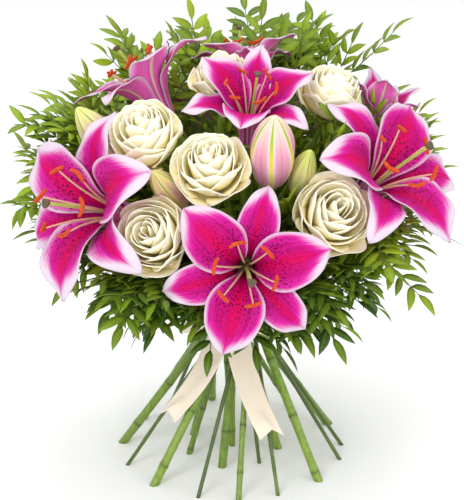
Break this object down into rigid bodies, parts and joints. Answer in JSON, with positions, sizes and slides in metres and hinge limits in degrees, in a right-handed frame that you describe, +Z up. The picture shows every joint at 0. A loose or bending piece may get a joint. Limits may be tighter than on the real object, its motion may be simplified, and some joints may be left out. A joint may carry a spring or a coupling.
{
  "type": "mixed flower bouquet",
  "caption": "Hand-tied spiral bouquet of white roses, pink lilies and buds among leafy sprays, tied with a cream ribbon and standing on its splayed cut stems.",
  "frame": {"origin": "middle of the cut end of the straight centre stem, on the surface that the bouquet stands on", "axes": "+Z up along the centre stem, -Y towards the front of the bouquet, +X to the right seen from the front"},
  "size_m": [0.438, 0.4282, 0.457],
  "materials": {
    "rose_petal": "creamy white petal, soft and matt",
    "lily_petal": "magenta pink petal with pale margins",
    "stamens": "green filaments with orange anthers",
    "lily_bud": "closed pink and green petals",
    "flower_stem": "fresh green stem, semi-gloss",
    "foliage": "green leaf, semi-gloss",
    "ribbon": "cream satin"
  },
  "bodies": {
    "root": {"rose_left_bloom": "rose_petal", "rose_middle_bloom": "rose_petal", "rose_front_left_bloom": "rose_petal", "rose_right_bloom": "rose_petal", "rose_top_right_bloom": "rose_petal", "rose_top_left_bloom": "rose_petal", "rose_back_bloom": "rose_petal", "rose_left_stem": "flower_stem", "rose_middle_stem": "flower_stem", "rose_front_left_stem": "flower_stem", "rose_right_stem": "flower_stem", "rose_top_right_stem": "flower_stem", "rose_top_left_stem": "flower_stem", "rose_back_stem": "flower_stem", "lily_front_bloom": "lily_petal", "lily_left_bloom": "lily_petal", "lily_right_bloom": "lily_petal", "lily_top_bloom": "lily_petal", "lily_back_top_bloom": "lily_petal", "lily_back_left_bloom": "lily_petal", "lily_back_bloom": "lily_petal", "lily_half_open_bloom": "lily_petal", "lily_front_stamens": "stamens", "lily_left_stamens": "stamens", "lily_right_stamens": "stamens", "lily_top_stamens": "stamens", "lily_back_top_stamens": "stamens", "lily_back_left_stamens": "stamens", "lily_back_stamens": "stamens", "lily_front_stem": "flower_stem", "lily_left_stem": "flower_stem", "lily_right_stem": "flower_stem", "lily_top_stem": "flower_stem", "lily_back_top_stem": "flower_stem", "lily_back_left_stem": "flower_stem", "lily_back_stem": "flower_stem", "lily_half_open_stem": "flower_stem", "bud_middle_bloom": "lily_bud", "bud_left_bloom": "lily_bud", "bud_right_bloom": "lily_bud", "bud_top_left_bloom": "lily_bud", "green_front_left_stem": "foliage", "green_front_right_stem": "foliage", "green_right_stem": "foliage", "green_back_right_stem": "foliage", "green_back_stem": "foliage", "green_back_left_stem": "foliage", "green_left_high_stem": "foliage", "green_left_stem": "foliage", "ribbon_band": "ribbon", "ribbon_bow": "ribbon"}
  },
  "joints": []
}
